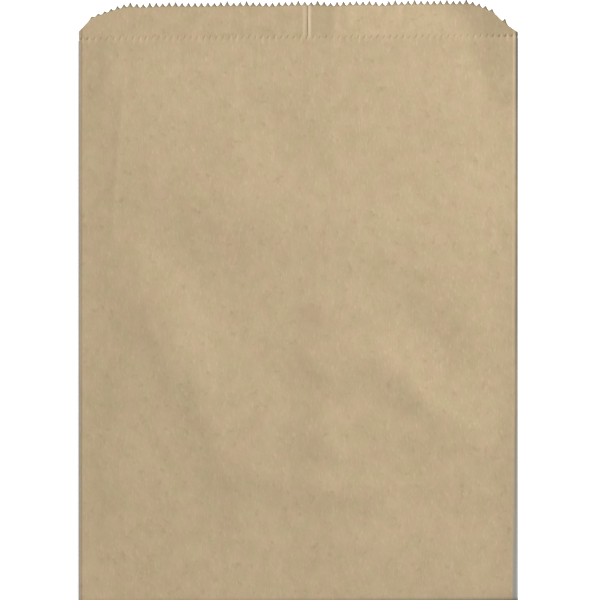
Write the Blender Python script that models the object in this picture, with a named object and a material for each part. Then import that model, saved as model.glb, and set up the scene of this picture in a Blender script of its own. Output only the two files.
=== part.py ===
"""A flat kraft paper bag that lies on its back, open at its pinked mouth.

One sheet makes the whole bag. It is rolled into a flat tube with a glued lap down its back, creased at both
sides, cut across with a toothed knife so that the back stands above the front as a lip, and closed at the
bottom by a flap that folds round and is glued to the back.

X runs across the bag, +Y towards the mouth and +Z up through the front, and the origin is on the ground under
the middle. The sizes are in millimetres and the scene is in metres. In the code below, s is the distance up the
bag from its bottom fold.
"""

import collections
import math

import bmesh
import bpy
from mathutils import Vector
from mathutils.geometry import delaunay_2d_cdt

MM = 0.001

# The sheet and the tube that is folded from it.
PAPER = 0.12
BAG_WIDTH = 215.9
FOLD_GAP = 0.42
LIP_EASE = 0.6
LIP_INSET = 0.05

# The toothed cut across the mouth: heights of the tooth roots half way across, and the lean of the cut.
FRONT_HEIGHT = 276.45
LIP_HEIGHT = 15.6
CUT_LEAN = math.radians(0.43)
TOOTH_PITCH = 3.175
FRONT_TOOTH_DEPTH = 2.2
LIP_TOOTH_DEPTH = 3.0

# The shoulders of the lip: how far each reaches in, how high the lip's side still stands above the front's
# roots, how bowed the shoulder is, and how much of its steep foot has no teeth.
LEFT_SHOULDER_REACH = 24.0
LEFT_SIDE_STAND = 4.2
LEFT_SHOULDER_BOW = 1.7
LEFT_BARE_EDGE = 5.2
RIGHT_SHOULDER_REACH = 22.0
RIGHT_SIDE_STAND = 1.4
RIGHT_SHOULDER_BOW = 2.0
RIGHT_BARE_EDGE = 4.5
LIP_CURL = 0.2

# The glued lap down the back: the edge inside the bag, the width of the lap, and how it settles beside it.
LAP_INSIDE_EDGE = 4.8
LAP_WIDTH = 12.7
LAP_SETTLE = 3.0
CUT_EDGE = 0.05

# The bottom flap that is glued to the back.
FLAP_HEIGHT = 17.0
FLAP_INSET = 0.8
FLAP_TAPER = 1.2
FLAP_TOOTH_DEPTH = 2.0
FLAP_CLEARANCE = 1.0
FLAP_SETTLE = 6.0

# The air inside the bag, which lifts the front off the back.
PILLOW_HEIGHT = 1.1
PILLOW_RUN = 20.0
MOUTH_DROP = 0.75
MOUTH_RUN = 50.0

# Soft buckles of the front: where each is across and up the front (as shares, from the middle and from the
# bottom fold), half its length and half its width, the way it runs, and how far it rises or sinks.
Buckle = collections.namedtuple("Buckle", "across up half_length half_width run height")
BUCKLES = (
    Buckle(-0.67, 0.51, 28.0, 13.0, -50.0, 1.10),
    Buckle(-0.45, 0.32, 32.0, 9.0, -70.0, 0.60),
    Buckle(-0.24, 0.36, 26.0, 12.0, -36.0, 0.75),
    Buckle(-0.57, 0.63, 30.0, 12.0, -35.0, -0.50),
    Buckle(-0.05, 0.68, 55.0, 16.0, -8.0, 0.75),
    Buckle(0.27, 0.43, 20.0, 9.0, -4.0, 0.90),
    Buckle(0.54, 0.37, 20.0, 8.0, -43.0, 0.80),
    Buckle(0.83, 0.30, 16.0, 8.0, -5.0, 0.90),
    Buckle(0.61, 0.46, 30.0, 10.0, -38.0, -0.75),
    Buckle(0.73, 0.53, 26.0, 8.0, -44.0, 0.45),
    Buckle(0.13, 0.52, 16.0, 6.0, 0.0, 0.30),
    Buckle(0.29, 0.19, 26.0, 8.0, 3.0, 0.65),
    Buckle(0.26, 0.10, 18.0, 7.0, 0.0, 0.30),
    Buckle(-0.12, 0.19, 20.0, 8.0, -28.0, 0.60),
    Buckle(0.88, 0.21, 16.0, 9.0, 10.0, 0.75),
    Buckle(0.53, 0.29, 20.0, 6.0, -5.0, 0.35),
    Buckle(-0.15, 0.86, 20.0, 9.0, -52.0, -0.50),
    Buckle(0.86, 0.93, 24.0, 7.0, -63.0, -0.75),
    Buckle(-0.86, 0.95, 16.0, 6.0, 85.0, 0.45),
    Buckle(-0.56, 0.06, 34.0, 8.0, 5.0, 0.30),
)

# How finely the sheet is divided.
FRONT_CELL = 7.5
BACK_CELL = 24.0
RIM_CELL = 8.0
LIP_ROW_SHARES = (0.3, 0.6, 0.85)
FOLD_STEPS = 4
CORNER_STEPS = 3
PLAN_TOLERANCE = 1e-5
SAME_PLACE = 1e-5

# The bottom is the thickest fold: the front, the back doubled in its lap, and the flap.
FOLDED_LAYERS = 4
FOLD_THICKNESS = FOLD_GAP + FOLDED_LAYERS * PAPER
FOLD_RADIUS = FOLD_THICKNESS / 2
HALF_WIDTH = BAG_WIDTH / 2
CREASE_X = HALF_WIDTH - FOLD_RADIUS
LIP_X = HALF_WIDTH - LIP_INSET
LAP_OUTSIDE_EDGE = LAP_INSIDE_EDGE + LAP_WIDTH
LAP_LINES = (
    LAP_INSIDE_EDGE - CUT_EDGE,
    LAP_INSIDE_EDGE,
    LAP_OUTSIDE_EDGE,
    LAP_OUTSIDE_EDGE + CUT_EDGE,
    LAP_OUTSIDE_EDGE + CUT_EDGE + LAP_SETTLE,
)
FLAP_FOOT_X = CREASE_X - FLAP_INSET
FLAP_TOP_X = FLAP_FOOT_X - FLAP_TAPER
STEP_LINE = FLAP_HEIGHT + FLAP_TOOTH_DEPTH + FLAP_CLEARANCE
FLAT_LINE = STEP_LINE + FLAP_SETTLE


def step_of(value):
    """The number that stands for a place, so that places closer than SAME_PLACE count as one."""
    return round(value / SAME_PLACE)


def spread(start, end, cell):
    """Evenly spaced values from start to end, about one cell apart."""
    count = max(1, round(abs(end - start) / cell))
    return [start + (end - start) * step / count for step in range(count + 1)]


def sink(value, top, bottom):
    """1 up to top, 0 from bottom on, and a straight fall between."""
    return min(1.0, max(0.0, (bottom - value) / (bottom - top)))


def rise(distance):
    """How far the pillow has risen at this distance from a fold."""
    return 1 - math.exp(-((max(0.0, distance) / PILLOW_RUN) ** 2))


def front_root(x):
    return FRONT_HEIGHT + x * math.tan(CUT_LEAN)


def shoulder_drop(distance, reach, stand, bow):
    """How far the cut lies below the top of the lip, this far in from the side."""
    return (LIP_HEIGHT - stand) * max(0.0, 1 - distance / reach) ** bow


def lip_root(x):
    """Height of the tooth roots along the lip, shoulders included."""
    top = front_root(x) + LIP_HEIGHT
    left = shoulder_drop(LIP_X + x, LEFT_SHOULDER_REACH, LEFT_SIDE_STAND, LEFT_SHOULDER_BOW)
    right = shoulder_drop(LIP_X - x, RIGHT_SHOULDER_REACH, RIGHT_SIDE_STAND, RIGHT_SHOULDER_BOW)
    return top - left - right


def lip_depth(x):
    """The knife leaves the steep foot of each shoulder bare."""
    bare = LIP_X + x < LEFT_BARE_EDGE or LIP_X - x < RIGHT_BARE_EDGE
    return 0.0 if bare else LIP_TOOTH_DEPTH


def front_depth(x):
    return FRONT_TOOTH_DEPTH


def flap_root(x):
    return FLAP_HEIGHT


def flap_depth(x):
    return FLAP_TOOTH_DEPTH


def pinked(reach, root, depth, stops, tips=1):
    """The toothed line from -reach to reach as (x, s), with a point at each stop. Tips are odd or even steps."""
    count = max(1, round(2 * reach / TOOTH_PITCH))
    half = reach / count
    line = []
    for step in range(2 * count + 1):
        x = -reach + step * half
        tooth = depth(x) if step % 2 == tips and 0 < step < 2 * count else 0.0
        line.append((x, root(x) + tooth))
    whole = [line[0]]
    for after in line[1:]:
        before = whole[-1]
        for stop in sorted(stops):
            if before[0] < stop < after[0]:
                share = (stop - before[0]) / (after[0] - before[0])
                whole.append((stop, before[1] + share * (after[1] - before[1])))
        whole.append(after)
    return whole


def buckled(x, s):
    """The sum of the soft buckles at one place of the front."""
    height = 0.0
    for buckle in BUCKLES:
        turn = math.radians(buckle.run)
        aside = x - buckle.across * HALF_WIDTH
        above = s - buckle.up * FRONT_HEIGHT
        along = aside * math.cos(turn) + above * math.sin(turn)
        across = above * math.cos(turn) - aside * math.sin(turn)
        fade = (along / buckle.half_length) ** 2 + (across / buckle.half_width) ** 2
        height += buckle.height * math.exp(-fade)
    return height


def front_top(x, s):
    """Height of the front's outer face."""
    held = rise(CREASE_X - abs(x)) * rise(s - FOLD_RADIUS)
    mouth = 1 - MOUTH_DROP * math.exp(-(((front_root(x) - s) / MOUTH_RUN) ** 2))
    return FOLD_THICKNESS + held * mouth * (PILLOW_HEIGHT + buckled(x, s))


def front_inside(x, s):
    return front_top(x, s) - PAPER


def lip_lift(x, s):
    """The lip curls up a little above the front's edge."""
    above = max(0.0, s - front_root(x)) / LIP_HEIGHT
    return LIP_CURL * above ** 2


def lap_fall(x):
    """1 where the inner layer of the lap is at its full step, 0 where it has settled."""
    return sink(x, LAP_LINES[3], LAP_LINES[4])


def back_under(x, s):
    """Height of the back's outer face, which lies on the ground except beside the flap and the lap."""
    lap = 0.0 if x < LAP_LINES[2] else min(1.0, (x - LAP_LINES[2]) / CUT_EDGE) * lap_fall(x)
    return PAPER * (sink(s, STEP_LINE, FLAT_LINE) + lap) + lip_lift(x, s)


def back_inside(x, s):
    """Height of the back's inner face."""
    lap = 0.0 if x < LAP_LINES[0] else min(1.0, (x - LAP_LINES[0]) / CUT_EDGE) * lap_fall(x)
    return PAPER * (1 + sink(s, STEP_LINE, FLAT_LINE) + lap) + lip_lift(x, s)


def ground(x, s):
    return 0.0


def band_under(x, s):
    """Where the outer face of the fold meets the back: the flap's face on the bottom, the back's elsewhere."""
    on_flap = s <= FOLD_RADIUS + PLAN_TOLERANCE and abs(x) <= FLAP_FOOT_X + PLAN_TOLERANCE
    return 0.0 if on_flap else back_under(x, s)


class Skin:
    """Points and faces of the closed sheet, where a point given twice is one point."""

    def __init__(self, middle):
        self.middle = middle
        self.points = []
        self.numbers = {}
        self.faces = []

    def point(self, x, s, z):
        key = (step_of(x), step_of(s), step_of(z))
        if key not in self.numbers:
            self.numbers[key] = len(self.points)
            self.points.append((x * MM, (s - self.middle) * MM, z * MM))
        return self.numbers[key]

    def face(self, corners):
        kept = []
        for corner in corners:
            if corner not in kept:
                kept.append(corner)
        if len(kept) > 2:
            self.faces.append(kept)

    def ribbon(self, one, other):
        """Quads between two lines of the same number of points."""
        for step in range(len(one) - 1):
            self.face((one[step], one[step + 1], other[step + 1], other[step]))


def panel(skin, outline, lines, loose, height):
    """Fills an outline with triangles that keep to the lines and take in the loose points."""
    numbers = {}
    plan = []
    edges = set()

    def number(place):
        key = (step_of(place[0]), step_of(place[1]))
        if key not in numbers:
            numbers[key] = len(plan)
            plan.append(place)
        return numbers[key]

    for line in [outline + outline[:1]] + lines:
        ends = [number(place) for place in line]
        for start, end in zip(ends, ends[1:]):
            if start != end:
                edges.add((min(start, end), max(start, end)))
    for place in loose:
        number(place)
    found = delaunay_2d_cdt([Vector(place) for place in plan], sorted(edges), [], 1, PLAN_TOLERANCE)
    corners = []
    for place, origins in zip(found[0], found[3]):
        x, s = plan[origins[0]] if origins else place
        corners.append(skin.point(x, s, height(x, s)))
    for face in found[2]:
        skin.face([corners[corner] for corner in face])


def side_rows(side):
    """The places along one side crease, from the bottom fold to the mouth."""
    top = front_root(side * CREASE_X)
    return [FOLD_RADIUS, STEP_LINE] + spread(FLAT_LINE, top, FRONT_CELL)


def bottom_columns():
    """The places along the bottom fold, from left to right."""
    flap_ends = (FLAP_FOOT_X, FLAP_FOOT_X + CUT_EDGE)
    fixed = set(LAP_LINES) | set(flap_ends) | {-end for end in flap_ends}
    clear = FRONT_CELL / 4
    even = [x for x in spread(-CREASE_X, CREASE_X, FRONT_CELL) if all(abs(x - stop) > clear for stop in fixed)]
    return sorted(set(even) | fixed | {-CREASE_X, CREASE_X})


def staggered(cell, low, high, reach, clear):
    """Points in offset rows between two heights, kept clear of the sides."""
    places = []
    for row, s in enumerate(spread(low, high, cell)):
        count = max(1, round(2 * (reach - clear) / cell))
        step = 2 * (reach - clear) / count
        shift = step / 2 if row % 2 else 0.0
        for column in range(count + 1 - row % 2):
            places.append((-reach + clear + shift + column * step, s))
    return places


def fold_stations():
    """The folded edge as (x, s, outward x, outward s), down the left, along the bottom and up the right."""
    stations = [(-CREASE_X, s, -1.0, 0.0) for s in reversed(side_rows(-1))]
    for step in range(1, CORNER_STEPS):
        turn = math.pi / 2 * step / CORNER_STEPS
        stations.append((-CREASE_X, FOLD_RADIUS, -math.cos(turn), -math.sin(turn)))
    stations += [(x, FOLD_RADIUS, 0.0, -1.0) for x in bottom_columns()]
    for step in range(1, CORNER_STEPS):
        turn = math.pi / 2 * step / CORNER_STEPS
        stations.append((CREASE_X, FOLD_RADIUS, math.sin(turn), -math.cos(turn)))
    return stations + [(CREASE_X, s, 1.0, 0.0) for s in side_rows(1)]


def fold_band(skin, top, under, radius):
    """The rounded fold between the front and the back. It gives the arcs at its two ends."""
    arcs = []
    for x, s, out_x, out_s in fold_stations():
        high = top(x, s)
        low = under(x, s)
        arc = []
        for step in range(FOLD_STEPS + 1):
            turn = math.pi / 2 - math.pi * step / FOLD_STEPS
            out = radius * math.cos(turn) if 0 < step < FOLD_STEPS else 0.0
            z = (high + low) / 2 + (high - low) / 2 * math.sin(turn)
            arc.append(skin.point(x + out_x * out, s + out_s * out, z))
        arcs.append(arc)
    for one, other in zip(arcs, arcs[1:]):
        skin.ribbon(one, other)
    return arcs[0], arcs[-1]


def lip_outline():
    """The back's edge above the folds, from the left fold over the lip to the right fold."""
    left = (-CREASE_X, front_root(-CREASE_X))
    right = (CREASE_X, front_root(CREASE_X))
    left_ease = (-LIP_X, left[1] + LIP_EASE)
    right_ease = (LIP_X, right[1] + LIP_EASE)
    return [left, left_ease] + pinked(LIP_X, lip_root, lip_depth, LAP_LINES, tips=0) + [right_ease, right]


def heights_at(line):
    """Looks up the height of a toothed line at each of its points."""
    return {step_of(x): s for x, s in line}


def back_lines(lip, starts):
    """The lap's edges, the two lines where the back settles on the ground, and the foot of the lip."""
    ends = heights_at(lip)
    across = sorted(set(spread(-CREASE_X, CREASE_X, RIM_CELL)) | set(LAP_LINES))
    clear = RIM_CELL / 4
    across = [x for x in across if x in LAP_LINES or all(abs(x - line) > clear for line in LAP_LINES)]
    lines = []
    for x in LAP_LINES:
        rows = [starts(x), STEP_LINE] + spread(FLAT_LINE, front_root(x), BACK_CELL) + [ends[step_of(x)]]
        lines.append([(x, s) for s in rows])
    lines.append([(x, STEP_LINE) for x in across])
    lines.append([(x, FLAT_LINE) for x in across])
    lines.append([(x, front_root(x)) for x in across])
    return lines


def back_loose():
    """Loose points of the back: a few over its flat middle and closer rows through the lip."""
    places = staggered(BACK_CELL, FLAT_LINE + BACK_CELL, FRONT_HEIGHT - BACK_CELL, CREASE_X, RIM_CELL)
    for x in spread(-CREASE_X, CREASE_X, RIM_CELL)[1:-1]:
        foot = front_root(x)
        room = lip_root(x) - foot
        places += [(x, foot + room * share) for share in LIP_ROW_SHARES]
    return [place for place in places if all(abs(place[0] - line) > CUT_EDGE for line in LAP_LINES)]


def build_bag(skin):
    columns = bottom_columns()
    left_side = [(-CREASE_X, s) for s in side_rows(-1)]
    right_side = [(CREASE_X, s) for s in side_rows(1)]
    bottom = [(x, FOLD_RADIUS) for x in columns]
    front_rim = pinked(CREASE_X, front_root, front_depth, ())
    lip = lip_outline()
    flap_rim = pinked(FLAP_TOP_X, flap_root, flap_depth, LAP_LINES)
    flap_starts = heights_at(flap_rim)

    front_outline = bottom + right_side[1:] + front_rim[::-1][1:] + left_side[::-1][1:-1]
    front_points = staggered(
        FRONT_CELL, FRONT_CELL / 2, FRONT_HEIGHT - FRONT_CELL / 2, CREASE_X, FRONT_CELL / 2
    )
    inside_outline = bottom + right_side[1:] + lip[::-1][1:] + left_side[::-1][1:-1]
    panel(skin, front_outline, [], front_points, front_top)
    panel(skin, front_outline, [], front_points, front_inside)
    panel(skin, inside_outline, back_lines(lip, lambda x: FOLD_RADIUS), back_loose(), back_inside)

    foot_in = [place for place in bottom if abs(place[0]) <= FLAP_FOOT_X + PLAN_TOLERANCE]
    foot_left = [place for place in bottom if place[0] < -FLAP_FOOT_X - PLAN_TOLERANCE]
    foot_right = [place for place in bottom if place[0] > FLAP_FOOT_X + PLAN_TOLERANCE]
    under_outline = foot_left + flap_rim + foot_right + right_side[1:] + lip[::-1][1:] + left_side[::-1][1:-1]
    panel(
        skin,
        under_outline,
        back_lines(lip, lambda x: flap_starts[step_of(x)]),
        back_loose(),
        back_under,
    )
    flap_points = staggered(RIM_CELL, RIM_CELL, FLAP_HEIGHT - RIM_CELL / 2, FLAP_TOP_X, RIM_CELL)
    panel(skin, foot_in + flap_rim[::-1], [], flap_points, ground)
    flap_line = [foot_in[0]] + flap_rim + [foot_in[-1]]
    beside_line = [foot_left[-1]] + flap_rim + [foot_right[0]]
    skin.ribbon(
        [skin.point(x, s, 0.0) for x, s in flap_line],
        [skin.point(x, s, back_under(x, s)) for x, s in beside_line],
    )

    outer_left, outer_right = fold_band(skin, front_top, band_under, FOLD_RADIUS)
    inner_left, inner_right = fold_band(skin, front_inside, back_inside, FOLD_RADIUS - PAPER)
    skin.ribbon(outer_left, inner_left)
    skin.ribbon(outer_right, inner_right)
    skin.ribbon(
        [skin.point(x, s, front_top(x, s)) for x, s in front_rim],
        [skin.point(x, s, front_inside(x, s)) for x, s in front_rim],
    )
    skin.ribbon(
        [skin.point(x, s, back_under(x, s)) for x, s in lip],
        [skin.point(x, s, back_inside(x, s)) for x, s in lip],
    )


def kraft_paper():
    """Unbleached brown paper, uncoated."""
    material = bpy.data.materials.new("kraft_paper")
    material.use_nodes = True
    surface = material.node_tree.nodes["Principled BSDF"]
    surface.inputs["Base Color"].default_value = (0.51, 0.40, 0.25, 1.0)
    surface.inputs["Roughness"].default_value = 0.85
    return material


def main():
    for stray in list(bpy.data.objects):
        bpy.data.objects.remove(stray, do_unlink=True)
    skin = Skin(max(s for x, s in lip_outline()) / 2)
    build_bag(skin)
    mesh = bpy.data.meshes.new("paper_bag")
    mesh.from_pydata(skin.points, [], skin.faces)
    mesh.materials.append(kraft_paper())
    closed = bmesh.new()
    closed.from_mesh(mesh)
    bmesh.ops.triangulate(closed, faces=closed.faces)
    bmesh.ops.recalc_face_normals(closed, faces=closed.faces)
    closed.to_mesh(mesh)
    closed.free()
    bag = bpy.data.objects.new("paper_bag", mesh)
    bpy.context.scene.collection.objects.link(bag)
    bpy.context.view_layer.update()


main()
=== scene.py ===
"""Dresses the flat paper bag: one fine sheet of kraft paper, folded and glued, on a pale floor.

The bag lies on its back with its mouth towards +Y. In the code, x runs across the bag and s up it
from its bottom fold, both in millimetres. The scene is in metres, with its origin on the floor
under the bag's middle.
"""

import math

import bpy
import numpy as np
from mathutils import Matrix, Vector, noise


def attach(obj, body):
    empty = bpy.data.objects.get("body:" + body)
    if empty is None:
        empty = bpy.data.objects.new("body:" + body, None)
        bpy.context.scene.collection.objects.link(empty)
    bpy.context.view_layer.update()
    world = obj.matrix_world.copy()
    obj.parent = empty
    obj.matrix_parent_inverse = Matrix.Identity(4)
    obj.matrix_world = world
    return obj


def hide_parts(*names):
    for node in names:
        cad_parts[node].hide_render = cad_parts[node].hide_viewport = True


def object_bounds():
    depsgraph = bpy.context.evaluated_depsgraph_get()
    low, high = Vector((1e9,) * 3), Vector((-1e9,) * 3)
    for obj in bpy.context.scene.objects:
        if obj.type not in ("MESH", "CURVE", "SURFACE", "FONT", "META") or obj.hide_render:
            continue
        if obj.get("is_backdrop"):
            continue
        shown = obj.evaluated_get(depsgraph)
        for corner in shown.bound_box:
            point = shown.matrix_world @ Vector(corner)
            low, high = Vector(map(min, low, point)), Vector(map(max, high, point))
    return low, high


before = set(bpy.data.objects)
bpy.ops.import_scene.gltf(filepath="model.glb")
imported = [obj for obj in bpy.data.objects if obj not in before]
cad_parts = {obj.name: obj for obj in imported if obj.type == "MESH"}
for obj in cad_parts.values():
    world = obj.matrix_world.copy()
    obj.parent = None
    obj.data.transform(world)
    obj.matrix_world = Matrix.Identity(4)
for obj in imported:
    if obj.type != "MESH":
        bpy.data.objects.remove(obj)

bl_info = {
    "name": "Flat Paper Bag",
    "version": (1, 0, 0),
    "blender": (4, 5, 0),
    "location": "3D View > Sidebar > Paper Bag",
    "description": "Models a flat pinked kraft paper bag and the plain stage it is shown on",
    "category": "Add Mesh",
}

MM = 0.001
CAD_LOW, CAD_HIGH = (Vector(corner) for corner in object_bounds())
HALF_WIDTH = (CAD_HIGH.x - CAD_LOW.x) / 2 / MM
HALF_LENGTH = (CAD_HIGH.y - CAD_LOW.y) / 2 / MM


def linear(hex_colour):
    """An sRGB hex colour as linear red, green, blue and alpha."""
    shares = [int(hex_colour[start:start + 2], 16) / 255 for start in (1, 3, 5)]
    return [
        share / 12.92 if share <= 0.04045 else ((share + 0.055) / 1.055) ** 2.4
        for share in shares
    ] + [1.0]


def size_of(name, description, default):
    """A length, given in millimetres and kept in metres."""
    return bpy.props.FloatProperty(
        name=name, description=description, default=default * MM, unit="LENGTH",
    )


def colour_of(name, description, default):
    """A colour, given as sRGB hex."""
    return bpy.props.FloatVectorProperty(
        name=name, description=description, default=linear(default), size=4,
        subtype="COLOR", min=0.0, max=1.0,
    )


def share_of(name, description, default):
    """A plain strength."""
    return bpy.props.FloatProperty(
        name=name, description=description, default=default, min=0.0, max=4.0,
    )


class BagSizes(bpy.types.PropertyGroup):
    """The sizes of the sheet, its cuts and its folds."""

    paper: size_of("Paper", "Thickness of the sheet", 0.12)
    fold_gap: size_of("Fold gap", "Space left inside the folds", 0.42)
    front_height: size_of("Front height", "Tooth roots of the front half way across", 276.45)
    lip_height: size_of("Lip height", "Tooth roots of the back above those of the front", 16.35)
    front_teeth: size_of("Front teeth", "Depth of the front's teeth", 2.0)
    lip_teeth: size_of("Lip teeth", "Depth of the lip's teeth", 2.3)
    flap_teeth: size_of("Flap teeth", "Depth of the flap's teeth", 2.0)
    lap_edge: size_of("Lap edge", "Inner edge of the lap, right of the middle", 4.55)
    lap_width: size_of("Lap width", "How far the two edges of the sheet overlap", 12.7)
    flap_height: size_of("Flap height", "Tooth roots of the glued bottom flap", 17.0)
    pillow: size_of("Pillow", "How far the air inside lifts the front", 1.1)
    cut_lean: bpy.props.FloatProperty(
        name="Cut lean", description="Lean of the cuts across the mouth", default=math.radians(0.43),
        subtype="ANGLE",
    )
    buckling: share_of("Buckling", "Strength of the soft buckles of the front", 1.5)
    creasing: share_of("Creasing", "Strength of the small creases and the cockle", 1.0)


class PaperFinish(bpy.types.PropertyGroup):
    """The look of the kraft paper."""

    pulp: colour_of("Pulp", "Colour of the paper", "#AE9B7C")
    dark_pulp: colour_of("Dark pulp", "Colour of the denser clouds in the sheet", "#A28F70")
    pale_fibre: colour_of("Pale fibre", "Colour of the pale fibres", "#B8A689")
    olive: colour_of("Olive tint", "Colour where the pulp is greener", "#A59874")
    rose: colour_of("Rose tint", "Colour where the pulp is redder", "#AD957B")
    fleck: colour_of("Fleck", "Colour of the bark flecks", "#8E7A58")
    # Painted shade and highlights, not colours of the paper: the grey along the side folds and their
    # rims, the dark of the lip's teeth and the bottom fold, the pale lines beside the right fold and
    # the lap, and the grey at the right fold's foot.
    edge: colour_of("Edge", "Colour worn along the side folds", "#5F5B56")
    rim: colour_of("Rim", "Colour of the bare rim of the side folds", "#9B9A98")
    cut: colour_of("Cut", "Colour of the lip's teeth and the bottom fold", "#453F35")
    scuff: colour_of("Scuff", "Colour of the pale lines beside the right fold and the lap", "#C4B597")
    shaded: colour_of("Rubbed", "Colour of the rubbed foot of the right fold", "#8A8880")
    roughness: share_of("Roughness", "Roughness of the uncoated face", 0.82)


class StageLook(bpy.types.PropertyGroup):
    """The floor, the light and the camera."""

    floor: colour_of("Floor", "Colour of the floor", "#F9F9F8")
    key: bpy.props.FloatProperty(
        name="Key", description="Power of the key light", default=171.0, unit="POWER",
    )
    sky: share_of("Sky", "Strength of the light from all round", 0.52)
    camera_height: size_of("Camera height", "Height of the camera above the floor", 1500.0)


# The shoulders of the lip: how far in from the side, how far the roots drop there, both in
# millimetres, and the share of the teeth's depth. The steep feet are bare, and a small tear on the
# right has taken one tooth.
LEFT_SHOULDER = (
    (0.0, 11.9, 0.0),
    (4.8, 7.0, 0.0),
    (6.3, 5.3, 0.4),
    (12.8, 3.1, 0.5),
    (19.0, 1.2, 0.8),
    (24.0, 0.0, 1.0),
)
RIGHT_SHOULDER = (
    (0.0, 13.9, 0.0),
    (4.4, 10.8, 0.0),
    (6.4, 9.6, 1.2),
    (8.0, 8.0, 0.0),
    (11.0, 5.0, 0.0),
    (12.6, 3.8, 0.7),
    (15.5, 2.6, 0.7),
    (19.0, 1.1, 0.9),
    (24.0, 0.0, 1.0),
)

# The lip: how far it is set in from the side folds, how high its top curls, how far above the
# front's roots its own rows start, and how far it stands off the floor.
LIP_INSET = 0.05
LIP_CURL = 0.15
LIP_EASE = 0.6
LIP_SLACK = 0.12

# A fold is as thick as this many layers and its gap.
FOLDED_LAYERS = 4

# The glued lap and flap: the thickness of the glue, over what distances the back settles beside
# them, and how the flap is set in from the side folds and the step of the back above it.
GLUE = 0.004
LAP_SETTLE = 3.0
FLAP_INSET = 0.8
FLAP_TAPER = 1.2
FLAP_CLEARANCE = 1.0
FLAP_SETTLE = 6.0

# The pillow rises over this run from each fold and falls off towards the mouth.
PILLOW_RUN = 20.0
MOUTH_DROP = 0.75
MOUTH_RUN = 50.0

# There the front sags on to the back, over these runs from the left and the right side fold.
MOUTH_SAG = 0.9
SAG_RUN = 22.0
SAG_SIDE_RUNS = (7.0, 13.0)
RESTING_GAP = 0.02

# How much flatter the left side fold is pressed at the mouth, and over what lengths down and
# across that fades.
PRESS = 0.55
PRESS_RUN = 32.0
PRESS_SIDE_RUN = 6.0

# Soft buckles of the front, in millimetres from the middle and from the bottom fold: x, s, half
# length, half width, run in degrees and height.
BUCKLES = (
    (-66, 134, 26, 15, -54, 0.75),
    (-40, 74, 40, 11, -71, 0.40),
    (-26, 82, 34, 16, -71, 0.28),
    (-97, 62, 36, 12, 90, 0.35),
    (-5, 105, 16, 9, -35, -0.20),
    (-62, 173, 30, 12, -35, -0.35),
    (-5, 188, 55, 16, -8, 0.50),
    (29, 119, 20, 9, -4, 0.60),
    (58, 102, 20, 8, -43, 0.55),
    (90, 83, 16, 8, -5, 0.60),
    (66, 128, 30, 11, -38, -0.45),
    (79, 146, 26, 8, -44, 0.20),
    (14, 145, 16, 6, 0, 0.20),
    (31, 53, 26, 8, 3, 0.45),
    (28, 29, 18, 7, 0, 0.20),
    (-10, 60, 22, 8, -10, 0.42),
    (95, 57, 16, 9, 10, 0.50),
    (57, 80, 20, 6, -5, 0.25),
    (-16, 238, 22, 12, -52, -0.50),
    (15, 226, 12, 6, -80, 0.22),
    (93, 257, 24, 7, -63, -0.55),
    (-93, 262, 16, 6, 85, 1.00),
    (-60, 17, 34, 8, 5, 0.22),
    (11, 141, 7, 5, -30, 0.22),
    (11, 114, 8, 5, -30, 0.28),
    (12, 78, 14, 11, -70, 0.42),
    (9, 57, 8, 5, -20, 0.25),
)

# Small creases of the front: x and s of both ends, half width and height, in millimetres.
CREASES = (
    (-86.0, 256.0, -92.0, 180.0, 2.2, 0.22),
    (-20.3, 275.0, -20.3, 264.0, 1.2, 0.07),
    (-31.1, 266.0, -31.0, 250.0, 1.2, 0.07),
    (-80.0, 150.0, -58.0, 104.0, 2.2, 0.07),
    (-53.0, 112.0, -41.0, 70.0, 1.8, 0.05),
    (82.0, 275.0, 99.0, 243.0, 2.2, -0.16),
    (86.0, 222.0, 104.0, 224.0, 2.0, 0.08),
    (2.0, 171.0, 12.0, 160.0, 2.4, 0.10),
)

# Small creases of the lip, the same way.
LIP_CREASES = (
    (51.0, 285.0, 51.5, 294.0, 1.0, -0.12),
    (53.5, 280.0, 53.5, 286.0, 1.2, 0.10),
    (-27.0, 281.0, -27.5, 290.0, 1.4, 0.07),
    (2.6, 279.0, 2.6, 293.0, 1.6, 0.10),
    (25.0, 279.0, 24.0, 293.0, 2.4, 0.14),
)

# A crease's height follows a half wave along it, but for this share at either end.
CREASE_END = 0.12

# Where the knife bit a little lower along the lip: x, half width and drop in millimetres.
DIPS = (
    (-75.8, 6.0, 0.5),
    (-49.0, 9.0, 0.3),
    (-13.9, 5.0, 0.5),
    (18.0, 6.0, 0.5),
    (41.0, 5.0, 0.5),
)

# How unevenly the tips are cut, and how fast that wanders along the front and the lip, in radians
# per millimetre.
TIP_JITTER = 0.22
FRONT_WANDER = (1.5, 0.52)
LIP_WANDER = (1.07, 0.38)

# How far the inner layer stands up off the outer one along the lap's edge, and over what width.
EDGE_LIFT = 0.05
EDGE_LIFT_RUN = 1.8

# The cockle of the sheet: spacing and height of its fine waves, in millimetres.
COCKLES = (
    (26.0, 0.10),
    (9.0, 0.035),
    (4.5, 0.012),
)

# The teeth: how many run across a cut, the steps of the knife in each, the share of its depth at
# 0, 1 and 2 steps from the tip, and how far below the roots the lip's last straight row lies.
TEETH = 68
TOOTH_STEPS = 4
TOOTH_PROFILE = (1.0, 0.28, 0.0)
TOOTH_FOOT = 0.3
COLUMNS = TEETH * TOOTH_STEPS

# How finely the sheet is divided up the bag. Close rows lie just above the bottom fold and just
# below the front's roots, at these distances.
ROWS = 64
FOOT_ROWS = (0.5, 1.1, 2.0)
RIM_STEPS = (2.2, 1.0)
LIP_ROWS = 9
FLAP_ROWS = 8
FOLD_STEPS = 6
CORNER_STEPS = 3

# Points this near are on one line, in millimetres, or in one place, in metres or steps of the
# knife.
ON_LINE = 0.001
SAME_PLACE = 1e-6
SHARP_ANGLE = math.radians(40)

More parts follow.
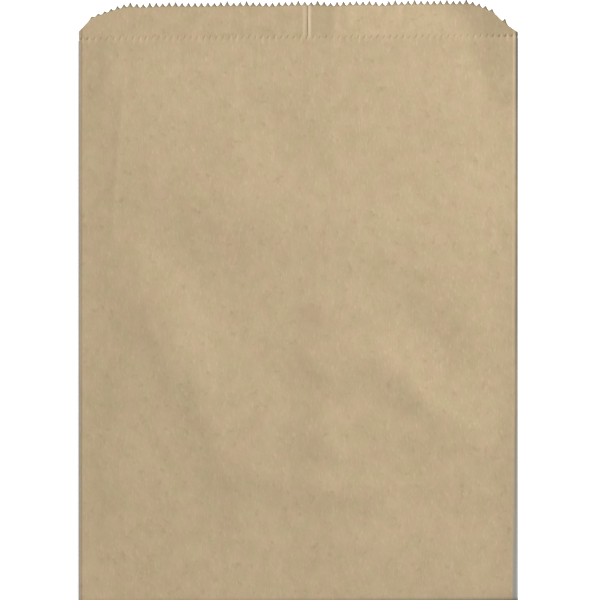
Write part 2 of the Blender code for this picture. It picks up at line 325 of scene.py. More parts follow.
# The photograph's frame: its width in pixels, the scale, and the pixels under the bag's middle and
# its bottom fold.
FRAME_PIXELS = 600
MM_PER_PIXEL = 0.4914
MIDDLE_PIXEL = 298.42
BOTTOM_PIXEL = 601.5


class Bag:
    """The forms of the bag, in millimetres."""

    def __init__(self, sizes):
        self.paper = sizes.paper / MM
        self.front_height = sizes.front_height / MM
        self.lip_height = sizes.lip_height / MM
        self.lean = math.tan(sizes.cut_lean)
        self.buckling = sizes.buckling
        self.creasing = sizes.creasing
        self.pillow = sizes.pillow / MM
        self.thickness = sizes.fold_gap / MM + FOLDED_LAYERS * self.paper
        self.radius = self.thickness / 2
        self.crease_x = HALF_WIDTH - self.radius
        self.lip_x = HALF_WIDTH - LIP_INSET
        self.lap_edge = sizes.lap_edge / MM
        self.lap_end = self.lap_edge + sizes.lap_width / MM
        self.flap_height = sizes.flap_height / MM
        self.flap_teeth = sizes.flap_teeth / MM
        self.front_teeth = sizes.front_teeth / MM
        self.lip_teeth = sizes.lip_teeth / MM
        self.step_line = self.flap_height + self.flap_teeth + FLAP_CLEARANCE

    def front_root(self, x):
        """Tooth roots of the front, up from the bottom fold."""
        return self.front_height + x * self.lean

    def shoulders(self, x):
        """Drop of the lip's roots at the two shoulders, and what share of the teeth is left there."""
        drop, share = 0.0, 1.0
        ends = ((self.lip_x + x, LEFT_SHOULDER), (self.lip_x - x, RIGHT_SHOULDER))
        for distance, shape in ends:
            places, drops, shares = zip(*shape)
            drop += np.interp(distance, places, drops)
            share *= np.interp(distance, places, shares)
        return drop, share

    def lip_root(self, x):
        """Tooth roots of the lip, up from the bottom fold."""
        dip = sum(drop * math.exp(-(((x - place) / half) ** 2)) for place, half, drop in DIPS)
        return self.front_root(x) + self.lip_height - dip - self.shoulders(x)[0]

    def front_tip(self, x):
        fast, slow = FRONT_WANDER
        return self.front_teeth * (1 + TIP_JITTER * math.sin(x * fast) * math.cos(x * slow))

    def flap_root(self, x):
        return self.flap_height

    def flap_tip(self, x):
        return self.flap_teeth

    def lip_tip(self, x):
        fast, slow = LIP_WANDER
        uneven = 1 + TIP_JITTER * math.sin(x * fast + 1) * math.cos(x * slow)
        return self.lip_teeth * self.shoulders(x)[1] * uneven

    def rise(self, distance, run=PILLOW_RUN):
        """Soft rise from 0 at a fold to 1 well away from it."""
        return 1 - np.exp(-((np.maximum(0.0, distance) / run) ** 2))

    def buckled(self, x, s):
        """Height of the soft buckles."""
        height = 0.0
        for centre_x, centre_s, half_length, half_width, run, rise in BUCKLES:
            turn = math.radians(run)
            along = (x - centre_x) * math.cos(turn) + (s - centre_s) * math.sin(turn)
            across = (s - centre_s) * math.cos(turn) - (x - centre_x) * math.sin(turn)
            near = (along / half_length) ** 2 + (across / half_width) ** 2
            height = height + rise * np.exp(-near)
        return height * self.buckling

    def creased(self, x, s, creases):
        """Height of the small creases."""
        height = 0.0
        for from_x, from_s, to_x, to_s, half_width, rise in creases:
            run_x, run_s = to_x - from_x, to_s - from_s
            share = ((x - from_x) * run_x + (s - from_s) * run_s) / (run_x ** 2 + run_s ** 2)
            share = np.clip(share, 0.0, 1.0)
            away = (x - from_x - share * run_x) ** 2 + (s - from_s - share * run_s) ** 2
            taper = np.sin(np.pi * (CREASE_END + (1 - 2 * CREASE_END) * share))
            height = height + rise * taper * np.exp(-away / half_width ** 2)
        return height * self.creasing

    def cockled(self, x, s):
        """Height of the sheet's fine waves."""
        height = np.zeros(len(x))
        for spacing, rise in COCKLES:
            height += [
                rise * noise.noise((across / spacing, up / spacing, spacing))
                for across, up in zip(x, s)
            ]
        return height * self.creasing

    def front(self, x, s):
        """Middle of the front's sheet."""
        inward, below = self.crease_x - np.abs(x), self.front_root(x) - s
        held = self.rise(inward) * self.rise(s - self.radius)
        mouth = 1 - MOUTH_DROP * np.exp(-((below / MOUTH_RUN) ** 2))
        sag = MOUTH_SAG * np.exp(-((below / SAG_RUN) ** 2))
        sag = sag * self.rise(inward, np.where(x < 0, *SAG_SIDE_RUNS))
        fine = self.creased(x, s, CREASES) + self.cockled(x, s)
        lifted = held * (mouth * (self.pillow + self.buckled(x, s)) + fine)
        loose = self.thickness - self.paper / 2 + lifted - sag
        back = np.where(x < self.lap_edge, self.outer_back(x, s), self.inner_back(x, s))
        return np.maximum(loose, back + self.paper + RESTING_GAP)

    def lip_lift(self, x, s):
        """How far the lip stands up off the floor."""
        above = np.maximum(0.0, s - self.front_root(x)) / self.lip_height
        fine = self.creased(x, s, LIP_CREASES) + self.cockled(x, s) + LIP_SLACK
        return LIP_CURL * above ** 2 + np.minimum(1.0, above * 2) * fine

    def outer_back(self, x, s):
        """Middle of the back's sheet left of the lap, where it is the outer layer."""
        sunk = np.clip((self.step_line + FLAP_SETTLE - s) / FLAP_SETTLE, 0.0, 1.0)
        sunk = sunk * np.clip((self.crease_x - np.abs(x)) / FLAP_INSET, 0.0, 1.0)
        return self.paper / 2 + (self.paper + GLUE) * sunk + self.lip_lift(x, s)

    def inner_back(self, x, s):
        """Middle of the back's sheet right of the lap, where it is the inner layer."""
        lap = np.clip((self.lap_end + LAP_SETTLE - x) / LAP_SETTLE, 0.0, 1.0)
        lift = EDGE_LIFT * np.clip(1 - (x - self.lap_edge) / EDGE_LIFT_RUN, 0.0, 1.0)
        lift = lift * np.clip((s - self.front_root(x)) / self.front_teeth - 1, 0.0, 1.0)
        return self.outer_back(x, s) + lap * (self.paper + GLUE) + lift

    def flap(self, x, s):
        """Middle of the flap's sheet, which lies flat on the floor."""
        return np.full(len(x), self.paper / 2)


def knife(step, reach):
    """Place across the bag of one step of the knife."""
    return reach * (2 * step / COLUMNS - 1)


def cut(reach, root, tip, x, first_tip):
    """Height of a toothed cut, straight between its steps, with its first tip at step first_tip."""
    place = (x / reach + 1) * COLUMNS / 2
    low = min(COLUMNS - 1, max(0, math.floor(place + SAME_PLACE)))
    ends = []
    for step in (low, low + 1):
        away = (step - first_tip + TOOTH_STEPS // 2) % TOOTH_STEPS - TOOTH_STEPS // 2
        share = TOOTH_PROFILE[abs(away)] if 0 < step < COLUMNS else 0.0
        ends.append(root(knife(step, reach)) + share * tip(knife(step - away, reach)))
    return ends[0] + (ends[1] - ends[0]) * (place - low)


def run(start, end, steps):
    """Even steps from start to end."""
    return [start + (end - start) * step / steps for step in range(steps + 1)]


def only(*objects):
    """Selects these objects and nothing else, the first one active."""
    bpy.ops.object.select_all(action="DESELECT")
    for one in objects:
        one.select_set(True)
    bpy.context.view_layer.objects.active = objects[0]


def panel(name, plan, height, back=0.0):
    """A grid primitive laid out on plan[column][row] = (x, s) and lifted to its height."""
    bpy.ops.object.select_all(action="DESELECT")
    across, up = len(plan) - 1, len(plan[0]) - 1
    bpy.ops.mesh.primitive_grid_add(
        x_subdivisions=across, y_subdivisions=up, size=1.0, location=(0, 0, 0),
    )
    piece = bpy.context.object
    piece.name = name
    flat = np.array([
        plan[round((vertex.co.x + 0.5) * across)][round((vertex.co.y + 0.5) * up)]
        for vertex in piece.data.vertices
    ])
    x, s = flat.T
    places = np.column_stack([x, s - HALF_LENGTH, height(x, s)])
    piece.data.vertices.foreach_set("co", (places * MM).ravel())
    side = piece.data.attributes.new("back", "FLOAT", "POINT")
    side.data.foreach_set("value", np.full(len(flat), back))
    piece.data.update()
    return piece


def body_rows(bag, x):
    """Rows of the front and the back at one place across, up to just below the front's roots."""
    close = [bag.radius + rise for rise in FOOT_ROWS]
    rim = [bag.front_root(x) - drop for drop in RIM_STEPS]
    return [bag.radius] + close[:-1] + run(close[-1], rim[0], ROWS) + rim[1:]


def front_panel(bag):
    """The front between its folds, up to its toothed cut."""
    plan = []
    for step in range(COLUMNS + 1):
        x = knife(step, bag.crease_x)
        top = cut(bag.crease_x, bag.front_root, bag.front_tip, x, TOOTH_STEPS // 2)
        plan.append([(x, s) for s in body_rows(bag, x) + [top]])
    return panel("front", plan, bag.front)


def back_panel(bag, name, start, end, height):
    """One side of the back with its part of the lip, which is as wide as the folds below it."""
    inner = [step for step in range(1, COLUMNS) if start < knife(step, bag.lip_x) < end]
    columns = [(knife(step, bag.crease_x), knife(step, bag.lip_x)) for step in inner]
    first = (-bag.crease_x, -bag.lip_x) if start <= -bag.crease_x else (start, start)
    last = (bag.crease_x, bag.lip_x) if end >= bag.crease_x else (end, end)
    plan = []
    for low, high in [first] + columns + [last]:
        foot = bag.front_root(low)
        top = cut(bag.lip_x, bag.lip_root, bag.lip_tip, high, 0)
        lip = run(foot + LIP_EASE, bag.lip_root(high) - TOOTH_FOOT, LIP_ROWS - 1) + [top]
        plan.append([(low, s) for s in body_rows(bag, low) + [foot]] + [(high, s) for s in lip])
    return panel(name, plan, height, back=1.0)


def flap_panel(bag):
    """The bottom flap, folded under the back and set in from the side folds."""
    plan = []
    for step in range(COLUMNS + 1):
        across = knife(step, bag.crease_x)
        top = cut(bag.crease_x, bag.flap_root, bag.flap_tip, across, TOOTH_STEPS // 2)
        column = []
        for part in run(0.0, 1.0, FLAP_ROWS):
            inset = FLAP_INSET * min(1.0, part * FLAP_ROWS) + FLAP_TAPER * part
            place = knife(step, bag.crease_x - inset)
            column.append((place, bag.radius + (top - bag.radius) * part))
        plan.append(column)
    return panel("flap", plan, bag.flap)


def spin_edge(piece, keep, centre, axis, angle, steps):
    """Spins the open edges whose ends keep() accepts round an axis, as a fold. All in millimetres."""
    mesh = piece.data
    uses = {}
    for polygon in mesh.polygons:
        for key in polygon.edge_keys:
            uses[key] = uses.get(key, 0) + 1
    mesh.polygons.foreach_set("select", [False] * len(mesh.polygons))
    mesh.vertices.foreach_set("select", [False] * len(mesh.vertices))
    chosen = []
    for edge in mesh.edges:
        lone = uses.get(tuple(sorted(edge.vertices)), 0) < 2
        edge.select = lone and all(keep(mesh.vertices[end].co / MM) for end in edge.vertices)
        chosen += list(edge.vertices) if edge.select else []
    if not chosen:
        raise RuntimeError("a fold found no edge to turn")
    for number in chosen:
        mesh.vertices[number].select = True
    only(piece)
    bpy.ops.object.mode_set(mode="EDIT")
    bpy.ops.mesh.select_mode(type="EDGE")
    bpy.ops.mesh.spin(steps=steps, angle=-angle, center=Vector(centre) * MM, axis=axis)
    bpy.ops.object.mode_set(mode="OBJECT")


def fold_edges(bag, front):
    """Rounds the two side folds, the bottom fold and its two corners on to the front."""
    side, foot, middle = bag.crease_x, bag.radius - HALF_LENGTH, bag.thickness / 2
    for sign in (-1, 1):
        spin_edge(
            front, lambda at: abs(at.x - sign * side) < ON_LINE,
            (sign * side, 0, middle), (0, 1, 0), sign * math.pi, FOLD_STEPS,
        )
    spin_edge(
        front,
        lambda at: abs(at.y - foot) < ON_LINE and abs(at.x) < side + ON_LINE and at.z > middle,
        (0, foot, middle), (1, 0, 0), math.pi, FOLD_STEPS,
    )
    for sign in (-1, 1):
        spin_edge(
            front, lambda at: abs(at.y - foot) < ON_LINE and sign * at.x > side - ON_LINE,
            (sign * side, foot, 0), (0, 0, 1), -sign * math.pi / 2, CORNER_STEPS,
        )


def press_fold(bag, front):
    """Presses the left side fold flatter at the mouth, towards the outer face of the back."""
    places = np.empty(len(front.data.vertices) * 3)
    front.data.vertices.foreach_get("co", places)
    x, y, z = places.reshape(-1, 3).T / MM
    down = (bag.front_root(x) - y - HALF_LENGTH) / PRESS_RUN
    inward = np.maximum(0.0, x + bag.crease_x) / PRESS_SIDE_RUN
    low = bag.paper / 2
    z = low + (z - low) * (1 - PRESS * np.exp(-down ** 2 - inward ** 2))
    front.data.vertices.foreach_set("co", (np.column_stack([x, y, z]) * MM).ravel())
    front.data.update()


class PaperBag(bpy.types.Operator):
    """Folds one sheet of kraft paper into the bag."""

    bl_idname = "mesh.make_paper_bag"
    bl_label = "Paper bag"

    def execute(self, context):
        bag = Bag(context.scene.bag_sizes)
        front = front_panel(bag)
        fold_edges(bag, front)
        press_fold(bag, front)
        outer = back_panel(bag, "outer_back", -HALF_WIDTH, bag.lap_end, bag.outer_back)
        inner = back_panel(bag, "inner_back", bag.lap_edge, HALF_WIDTH, bag.inner_back)
        flap = flap_panel(bag)
        only(front, outer, inner, flap)
        bpy.ops.object.join()
        front.name = "kraft_bag"
        front.data.name = "kraft_bag"
        bpy.ops.object.mode_set(mode="EDIT")
        bpy.ops.mesh.select_all(action="SELECT")
        bpy.ops.mesh.remove_doubles(threshold=SAME_PLACE)
        bpy.ops.mesh.normals_make_consistent(inside=False)
        bpy.ops.object.mode_set(mode="OBJECT")
        wall = front.modifiers.new("sheet", "SOLIDIFY")
        wall.thickness = bag.paper * MM
        wall.offset = 0.0
        wall.use_even_offset = True
        bpy.ops.object.modifier_apply(modifier=wall.name)
        bpy.ops.object.mode_set(mode="EDIT")
        bpy.ops.mesh.select_all(action="SELECT")
        bpy.ops.mesh.normals_make_consistent(inside=False)
        bpy.ops.object.mode_set(mode="OBJECT")
        bpy.ops.object.shade_smooth_by_angle(angle=SHARP_ANGLE)
        mark_shade_and_tone(bag, front)
        front.data.materials.clear()
        front.data.materials.append(kraft_paper(context.scene.paper_finish))
        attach(front, "root")
        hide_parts("paper_bag")
        return {"FINISHED"}


# Painted shade: how dark the bottom fold is half way across and how that grows to the right, how
# dark the lip's teeth are, and over what distance in millimetres each fades.
BOTTOM_DARK = 0.38
BOTTOM_LEAN = 0.86
BOTTOM_RUN = 1.65
TEETH_DARK = 0.95
TEETH_RUN = 0.7

# Painted highlight: how much paler the front's teeth are, with the paper at their feet. It wanders
# about this share over this length in millimetres.
TOOTH_HIGHLIGHT = 0.28
TOOTH_SHARE = 0.5
TOOTH_PATCH = 9.0

# Tones of the lip, and where each comes in or goes out, in millimetres: above the front's roots,
# right of the lap's edge and right of its end. The lip is paler right of the lap's end. The painted
# shade of the lip's right corner comes in along a leaning line, this far right of the middle at the
# roots.
LIP_IN = 1.0
LAP_TONE = -0.06
LAP_IN = 2.0
LAP_OUT = (-1.0, 3.0)
LIP_PALE_TONE = 0.075
LIP_PALE_IN = (-1.0, 5.0)
CORNER_SHADE = -0.23
CORNER_LEAN = 0.78
CORNER_IN = (77.0, 98.0)

# Painted shade on the front: the right side darker up to where it fades, and two darker patches
# under the mouth, a leaning one on the right and a narrow one on the left.
SIDE_SHADE = -0.07
SIDE_RUN = 26.0
SIDE_FADE = (130.0, 250.0)
MOUTH_SHADE_TONE = -0.06
MOUTH_SHADE_FROM = (239.0, 247.0)
WEDGE_LEAN = 0.53
WEDGE_IN = (81.0, 84.0)
SPOT_IN = (-105.0, -102.0)
SPOT_OUT = (-97.0, -93.0)

# Where the front is a little darker or paler, partly painted shade and light where the buckles'
# own shading falls short, partly stains: x, s, half width and half height in millimetres, and tone.
PATCHES = (
    (-12.0, 60.0, 34.0, 28.0, -0.062),
    (96.0, 60.0, 20.0, 36.0, -0.058),
    (-70.0, 97.0, 18.0, 14.0, -0.045),
    (0.0, 203.0, 110.0, 30.0, 0.015),
    (-84.0, 182.0, 13.0, 42.0, 0.022),
    (-59.0, 180.0, 14.0, 10.0, 0.018),
    (59.0, 204.0, 12.0, 24.0, 0.034),
    (39.0, 231.0, 9.0, 16.0, 0.034),
    (20.0, 114.0, 26.0, 17.0, 0.034),
    (28.0, 162.0, 22.0, 7.0, -0.022),
    (-53.0, 18.0, 60.0, 12.0, 0.016),
    (100.0, 245.0, 5.5, 4.5, -0.085),
    (84.5, 275.5, 4.0, 3.5, 0.045),
    (101.0, 262.0, 8.0, 18.0, 0.035),
    (-102.6, 255.0, 1.5, 10.0, -0.05),
    (-99.0, 271.0, 8.0, 5.0, -0.035),
    (-60.0, 272.0, 50.0, 8.0, -0.012),
    (72.0, 138.0, 10.0, 7.0, 0.03),
)


def ease(value, start, end):
    """Smooth step from 0 at start to 1 at end."""
    share = np.clip((value - start) / (end - start), 0.0, 1.0)
    return share * share * (3 - 2 * share)


def mark_shade_and_tone(bag, piece):
    """Stores the painted shade of the lip's teeth and the bottom fold, and the sheet's tone: painted
    shade and highlights, and darker or paler patches.
    """
    count = len(piece.data.vertices)
    places = np.empty(count * 3)
    piece.data.vertices.foreach_get("co", places)
    x, y = places.reshape(-1, 3).T[:2] / MM
    s = y + HALF_LENGTH
    root = bag.front_root(x)
    feet = np.array([bag.lip_root(across) - TOOTH_FOOT for across in x])
    back = np.empty(count)
    piece.data.attributes["back"].data.foreach_get("value", back)

    # Painted shade along the bottom fold, darker to the right, and over the lip's teeth.
    bottom = BOTTOM_DARK * np.exp(BOTTOM_LEAN * x / HALF_WIDTH - (s / BOTTOM_RUN) ** 2)
    worn = bottom + back * TEETH_DARK * ease(s, feet, feet + TEETH_RUN)

    lip = back * ease(s, root, root + LIP_IN)
    lap = ease(x - bag.lap_edge, 0.0, LAP_IN) * (1 - ease(x - bag.lap_end, *LAP_OUT))
    lip_tone = LAP_TONE * lap + LIP_PALE_TONE * ease(x - bag.lap_end, *LIP_PALE_IN)
    lip_tone += CORNER_SHADE * ease(x + CORNER_LEAN * (s - root), *CORNER_IN)

    # Painted shade on the right side of the front and under the mouth.
    side = ease(x, HALF_WIDTH - SIDE_RUN, HALF_WIDTH) * (1 - ease(s, *SIDE_FADE))
    wedge = ease(x + WEDGE_LEAN * (s - bag.front_height), *WEDGE_IN)
    spot = ease(x, *SPOT_IN) * (1 - ease(x, *SPOT_OUT))
    front_tone = SIDE_SHADE * side + MOUTH_SHADE_TONE * (wedge + spot) * ease(s, *MOUTH_SHADE_FROM)
    for middle, height, half_width, half_height, share in PATCHES:
        near = ((x - middle) / half_width) ** 2 + ((s - height) / half_height) ** 2
        front_tone += share * np.exp(-near)

    # Painted highlight on the front's teeth, in bars that wander along the cut.
    drift = [TOOTH_SHARE + noise.noise((across / TOOTH_PATCH, 0.0, 0.0)) for across in x]
    bars = np.maximum(0.0, -np.cos(math.pi * TEETH * (x / bag.crease_x + 1)))
    rim = ease(s, root - RIM_STEPS[0], root)
    tone = lip * lip_tone + (1 - lip) * front_tone
    tone += TOOTH_HIGHLIGHT * (1 - back) * np.array(drift) * bars * rim
    for name, values in (("worn", np.clip(worn, 0.0, 1.0)), ("tone", tone), ("lip", lip)):
        mark = piece.data.attributes.new(name, "FLOAT", "POINT")
        mark.data.foreach_set("value", values)


def add(tree, kind, inputs=None, **settings):
    """Adds a node with its settings. An input takes a value or the output that feeds it."""
    made = tree.nodes.new(kind)
    for name, value in settings.items():
        setattr(made, name, value)
    for name, value in (inputs or {}).items():
        if isinstance(value, bpy.types.NodeSocket):
            tree.links.new(value, made.inputs[name])
        else:
            made.inputs[name].default_value = value
    return made


# The grain of the sheet: name, size across and up the bag in millimetres, turn in degrees and detail.
GRAINS = (
    ("clouds", 6.5, 7.5, 0, 2.5),
    ("drift", 55.0, 75.0, 0, 1.0),
    ("tint", 8.0, 9.0, 0, 2.5),
    ("streaks", 1.6, 7.0, 4, 2.0),
    ("spots", 3.2, 3.6, 25, 3.0),
    ("fibres", 0.9, 3.4, 12, 1.0),
    ("crossed", 1.0, 3.2, -52, 1.0),
    ("tooth", 1.0, 1.2, 0, 2.0),
)

# How clouds, drift and streaks together pick between the plain and the denser pulp: the shares of
# drift and streaks beside the clouds, and the sums that give plain and dense pulp.
DRIFT_SHARE = 0.6
STREAK_SHARE = 0.15
PLAIN_SUM = 0.65
DENSE_SUM = 1.1

# The tint wanders from olive to rose between these values of its noise, and counts for this share.
OLIVE_FROM = 0.35
ROSE_FROM = 0.65
TINT_SHARE = 0.4

# What lies on the face: grain, colour and strength. Each shows between these values of its noise.
SPECKS = (
    ("fibres", "pale_fibre", 0.3),
    ("crossed", "pale_fibre", 0.4),
    ("spots", "fleck", 0.35),
)
SPECK_FROM = 0.60
SPECK_FULL = 0.75

# Flecks of bark: their spacing across and up the bag in millimetres, the shares of that spacing
# at which a fleck starts to fade and ends, and its strength.
BARK_ACROSS = 7.0
BARK_UP = 10.0
BARK_CORE = 0.02
BARK_END = 0.06
BARK_STRENGTH = 0.35

# The relief of the face: grain and share, then the strength and the depth in millimetres.
RELIEF = (
    ("tooth", 0.6),
    ("fibres", 0.1),
    ("crossed", 0.4),
    ("spots", 2.8),
)
RELIEF_STRENGTH = 0.6
RELIEF_DEPTH = 0.05

# The face is a little smoother where the fibres lie, between these values of their noise.
FIBRES_FROM = 0.3
FIBRES_FULL = 0.7
FIBRE_GLOSS = 0.06
SPECULAR = 0.3
CELLULOSE_IOR = 1.47

# Painted lines along the side folds and the seam: painted shade along the folds' edges, rims and the
# right fold's foot, and painted highlights beside the right fold and the lap. Each gives x half way
# up, its lean, half width in millimetres, strength at the bottom and at the mouth, colour, and
# whether only the lip shows it. The drift of the sheet thins each to about half of its peak.
LINE_PEAK = 2.0
SHADE_AND_HIGHLIGHT_LINES = (
    # Painted shade along the edges and the rims of the side folds, and at the right fold's foot.
    (-106.6, 0.0, 0.8, 0.47, 0.3, "edge", False),
    (-107.9, 0.0, 0.9, 0.9, 0.6, "rim", False),
    (107.07, 0.0024, 1.05, 0.6, 1.1, "edge", False),
    (107.85, 0.011, 2.0, 1.2, -2.4, "shaded", False),
    (107.9, 0.0, 1.5, 1.0, -0.6, "rim", False),
    # Painted highlights beside the right fold and on both sides of the lap's edge.
    (105.3, 0.0035, 0.8, 0.05, 0.36, "scuff", False),
    (5.5, 0.0, 1.15, 0.65, 0.65, "scuff", True),
    (2.7, 0.0, 1.2, 0.35, 0.35, "scuff", True),
)


def kraft_paper(finish):
    """Unbleached kraft paper, machine-made and uncoated.

    It is matt and warm brown. The pulp lies in faint clouds a few millimetres across, whose tint
    wanders between olive and rose. Pale fibres lie on the face, and the denser spots and the flecks
    of bark are small and dark. Real fibres are about 0.03 mm thick, so they are drawn some ten
    times coarser, to show at all.
    """
    material = bpy.data.materials.new("kraft_paper")
    material.use_nodes = True
    tree = material.node_tree
    surface = tree.nodes["Principled BSDF"]
    place = add(tree, "ShaderNodeTexCoord").outputs["Object"]
    axes = add(tree, "ShaderNodeSeparateXYZ", {"Vector": place}).outputs

    grain = {}
    for name, wide, long, turn, detail in GRAINS:
        laid = add(tree, "ShaderNodeMapping", {
            "Vector": place, "Rotation": (0, 0, math.radians(turn)),
            "Scale": (1 / wide / MM, 1 / long / MM, 1 / wide / MM),
        })
        grain[name] = add(tree, "ShaderNodeTexNoise", {
            "Vector": laid.outputs["Vector"], "Scale": 1.0, "Detail": detail, "Roughness": 0.5,
        }).outputs["Fac"]

    # The pulp varies between plain and dense, and its tint between olive and rose.
    dense = add(tree, "ShaderNodeMath", {
        0: grain["drift"], 1: DRIFT_SHARE, 2: grain["clouds"],
    }, operation="MULTIPLY_ADD")
    dense = add(tree, "ShaderNodeMath", {
        0: grain["streaks"], 1: STREAK_SHARE, 2: dense.outputs[0],
    }, operation="MULTIPLY_ADD")
    dense = add(tree, "ShaderNodeMapRange", {
        "Value": dense.outputs[0], "From Min": PLAIN_SUM, "From Max": DENSE_SUM,
    })
    colour = add(tree, "ShaderNodeMix", {
        0: dense.outputs[0], 6: finish.pulp[:], 7: finish.dark_pulp[:],
    }, data_type="RGBA")
    tint = add(tree, "ShaderNodeMapRange", {
        "Value": grain["tint"], "From Min": OLIVE_FROM, "From Max": ROSE_FROM,
    })
    tint = add(tree, "ShaderNodeMix", {
        0: tint.outputs[0], 6: finish.olive[:], 7: finish.rose[:],
    }, data_type="RGBA")
    colour = add(tree, "ShaderNodeMix", {
        0: TINT_SHARE, 6: colour.outputs[2], 7: tint.outputs[2],
    }, data_type="RGBA")

    # Pale fibres lie on the face in two directions, with denser spots and flecks of bark.
    for name, shade, share in SPECKS:
        seen = add(tree, "ShaderNodeMapRange", {
            "Value": grain[name], "From Min": SPECK_FROM, "From Max": SPECK_FULL, "To Max": share,
        })
        colour = add(tree, "ShaderNodeMix", {
            0: seen.outputs[0], 6: colour.outputs[2], 7: getattr(finish, shade)[:],
        }, data_type="RGBA")
    spread = add(tree, "ShaderNodeMapping", {
        "Vector": place, "Scale": (1 / BARK_ACROSS / MM, 1 / BARK_UP / MM, 1 / BARK_ACROSS / MM),
    })
    bark = add(tree, "ShaderNodeTexVoronoi", {"Vector": spread.outputs["Vector"], "Scale": 1.0})
    seen = add(tree, "ShaderNodeMapRange", {
        "Value": bark.outputs["Distance"], "From Min": BARK_CORE, "From Max": BARK_END,
        "To Min": BARK_STRENGTH, "To Max": 0.0,
    })
    colour = add(tree, "ShaderNodeMix", {
        0: seen.outputs[0], 6: colour.outputs[2], 7: finish.fleck[:],
    }, data_type="RGBA")

    # Painted shade lines along the side folds, painted highlight lines by the right fold and the
    # seam, and painted shade darkening the cuts and the bottom.
    lip = add(tree, "ShaderNodeAttribute", attribute_name="lip")
    for middle, lean, half, low, high, shade, lip_only in SHADE_AND_HIGHLIGHT_LINES:
        away = add(tree, "ShaderNodeMath", {
            0: axes["Y"], 1: -lean, 2: axes["X"],
        }, operation="MULTIPLY_ADD")
        away = add(tree, "ShaderNodeMath", {
            0: away.outputs[0], 1: middle * MM,
        }, operation="SUBTRACT")
        away = add(tree, "ShaderNodeMath", {0: away.outputs[0]}, operation="ABSOLUTE")
        seen = add(tree, "ShaderNodeMapRange", {
            "Value": away.outputs[0], "From Min": 0.0, "From Max": half * MM,
            "To Min": LINE_PEAK, "To Max": 0.0,
        }, interpolation_type="SMOOTHSTEP")
        share = add(tree, "ShaderNodeMapRange", {
            "Value": axes["Y"], "From Min": -HALF_LENGTH * MM, "From Max": HALF_LENGTH * MM,
            "To Min": low, "To Max": high,
        })
        factors = [share.outputs[0], grain["drift"]]
        if lip_only:
            factors.append(lip.outputs["Fac"])
        for factor in factors:
            seen = add(tree, "ShaderNodeMath", {
                0: seen.outputs[0], 1: factor,
            }, operation="MULTIPLY")
        seen = add(tree, "ShaderNodeMath", {0: seen.outputs[0], 1: 1.0}, operation="MINIMUM")
        colour = add(tree, "ShaderNodeMix", {
            0: seen.outputs[0], 6: colour.outputs[2], 7: getattr(finish, shade)[:],
        }, data_type="RGBA")
    worn = add(tree, "ShaderNodeAttribute", attribute_name="worn")
    colour = add(tree, "ShaderNodeMix", {
        0: worn.outputs["Fac"], 6: colour.outputs[2], 7: finish.cut[:],
    }, data_type="RGBA")
    # The tone scales the colour: painted shade and light on the front and the lip, painted highlights
    # on the front's teeth, and darker or paler patches.
    tone = add(tree, "ShaderNodeAttribute", attribute_name="tone")
    tone = add(tree, "ShaderNodeMath", {0: tone.outputs["Fac"], 1: 1.0}, operation="ADD")
    colour = add(tree, "ShaderNodeVectorMath", {
        0: colour.outputs[2], "Scale": tone.outputs[0],
    }, operation="SCALE")

    # The low light catches the fine relief of the fibres and the spots.
    relief = 0.0
    for name, share in RELIEF:
        relief = add(tree, "ShaderNodeMath", {
            0: grain[name], 1: share, 2: relief,
        }, operation="MULTIPLY_ADD").outputs[0]
    bump = add(tree, "ShaderNodeBump", {
        "Height": relief, "Strength": RELIEF_STRENGTH, "Distance": RELIEF_DEPTH * MM,
    })
    rough = add(tree, "ShaderNodeMapRange", {
        "Value": grain["fibres"], "From Min": FIBRES_FROM, "From Max": FIBRES_FULL,
        "To Min": finish.roughness + FIBRE_GLOSS, "To Max": finish.roughness - FIBRE_GLOSS,
    })
    tree.links.new(colour.outputs[0], surface.inputs["Base Color"])
    tree.links.new(rough.outputs[0], surface.inputs["Roughness"])
    tree.links.new(bump.outputs["Normal"], surface.inputs["Normal"])
    surface.inputs["Specular IOR Level"].default_value = SPECULAR
    surface.inputs["IOR"].default_value = CELLULOSE_IOR
    return material


# The floor: half its size in metres, its drop below the bag in millimetres, and its look.
FLOOR_HALF = 12.0
FLOOR_DROP = 0.02
FLOOR_ROUGHNESS = 0.9
FLOOR_GLOW = 0.45

# The key light: its size and distance in metres, how far round to the right it stands from the
# mouth's side, and how high.
KEY_SIZE = 2.0
KEY_DISTANCE = 2.9
KEY_TURN = math.radians(60)
KEY_RAISE = math.radians(25)

# Width of the camera's sensor, in millimetres.
SENSOR = 36.0


def white_board(look):
    """Smooth white-painted board, matt and even, with a glow that keeps it near white."""
    material = bpy.data.materials.new("white_board")
    material.use_nodes = True
    surface = material.node_tree.nodes["Principled BSDF"]
    surface.inputs["Base Color"].default_value = look.floor[:]
    surface.inputs["Roughness"].default_value = FLOOR_ROUGHNESS
    surface.inputs["Emission Color"].default_value = look.floor[:]
    surface.inputs["Emission Strength"].default_value = FLOOR_GLOW
    return material


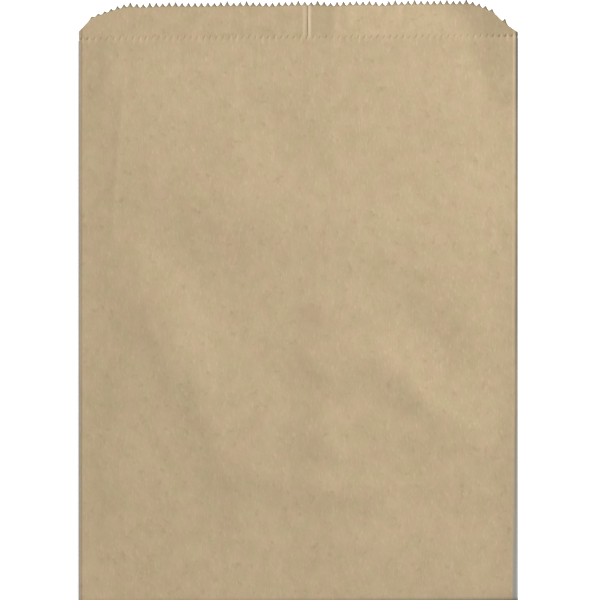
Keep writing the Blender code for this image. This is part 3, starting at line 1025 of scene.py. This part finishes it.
class Stage(bpy.types.Operator):
    """Lays the floor and sets the light and the camera."""

    bl_idname = "scene.set_bag_stage"
    bl_label = "Stage"

    def execute(self, context):
        look = context.scene.stage_look
        bpy.ops.object.select_all(action="DESELECT")
        bpy.ops.mesh.primitive_plane_add(size=2 * FLOOR_HALF, location=(0, 0, -FLOOR_DROP * MM))
        floor = context.object
        floor.name = "floor"
        floor.data.materials.append(white_board(look))
        floor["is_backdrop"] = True

        away = Vector((
            math.sin(KEY_TURN) * math.cos(KEY_RAISE),
            math.cos(KEY_TURN) * math.cos(KEY_RAISE),
            math.sin(KEY_RAISE),
        ))
        bpy.ops.object.light_add(type="AREA", location=away * KEY_DISTANCE)
        key = context.object
        key.name = "key_light"
        key.rotation_euler = away.to_track_quat("Z", "Y").to_euler()
        key.data.size = KEY_SIZE
        key.data.energy = look.key
        world = bpy.data.worlds.new("soft_room")
        world.use_nodes = True
        world.node_tree.nodes["Background"].inputs["Color"].default_value = (1, 1, 1, 1)
        world.node_tree.nodes["Background"].inputs["Strength"].default_value = look.sky
        context.scene.world = world

        half = FRAME_PIXELS / 2
        seen = (half - MIDDLE_PIXEL) * MM_PER_PIXEL * MM
        up = ((BOTTOM_PIXEL - half) * MM_PER_PIXEL - HALF_LENGTH) * MM
        bpy.ops.object.camera_add(location=(seen, up, look.camera_height), rotation=(0, 0, 0))
        camera = context.object
        camera.name = "camera"
        camera.data.sensor_width = SENSOR
        camera.data.lens = SENSOR * look.camera_height / (FRAME_PIXELS * MM_PER_PIXEL * MM)
        context.scene.camera = camera
        context.scene.view_settings.view_transform = "Standard"
        return {"FINISHED"}


class BagPanel(bpy.types.Panel):
    """Lists the steps that make the bag and its stage."""

    bl_idname = "VIEW3D_PT_paper_bag"
    bl_label = "Paper Bag"
    bl_space_type = "VIEW_3D"
    bl_region_type = "UI"
    bl_category = "Paper Bag"

    def draw(self, context):
        for name in GROUPS:
            group = getattr(context.scene, name)
            box = self.layout.box()
            for value in group.__annotations__:
                box.prop(group, value)
        for step in STEPS:
            self.layout.operator(step.bl_idname)


GROUPS = {"bag_sizes": BagSizes, "paper_finish": PaperFinish, "stage_look": StageLook}
STEPS = (PaperBag, Stage)
CLASSES = tuple(GROUPS.values()) + STEPS + (BagPanel,)


def register():
    for one in CLASSES:
        bpy.utils.register_class(one)
    for name, group in GROUPS.items():
        setattr(bpy.types.Scene, name, bpy.props.PointerProperty(type=group))


def unregister():
    for name in GROUPS:
        delattr(bpy.types.Scene, name)
    for one in reversed(CLASSES):
        bpy.utils.unregister_class(one)


def main():
    register()
    bpy.ops.mesh.make_paper_bag()
    bpy.ops.scene.set_bag_stage()


if __name__ == "__main__":
    main()
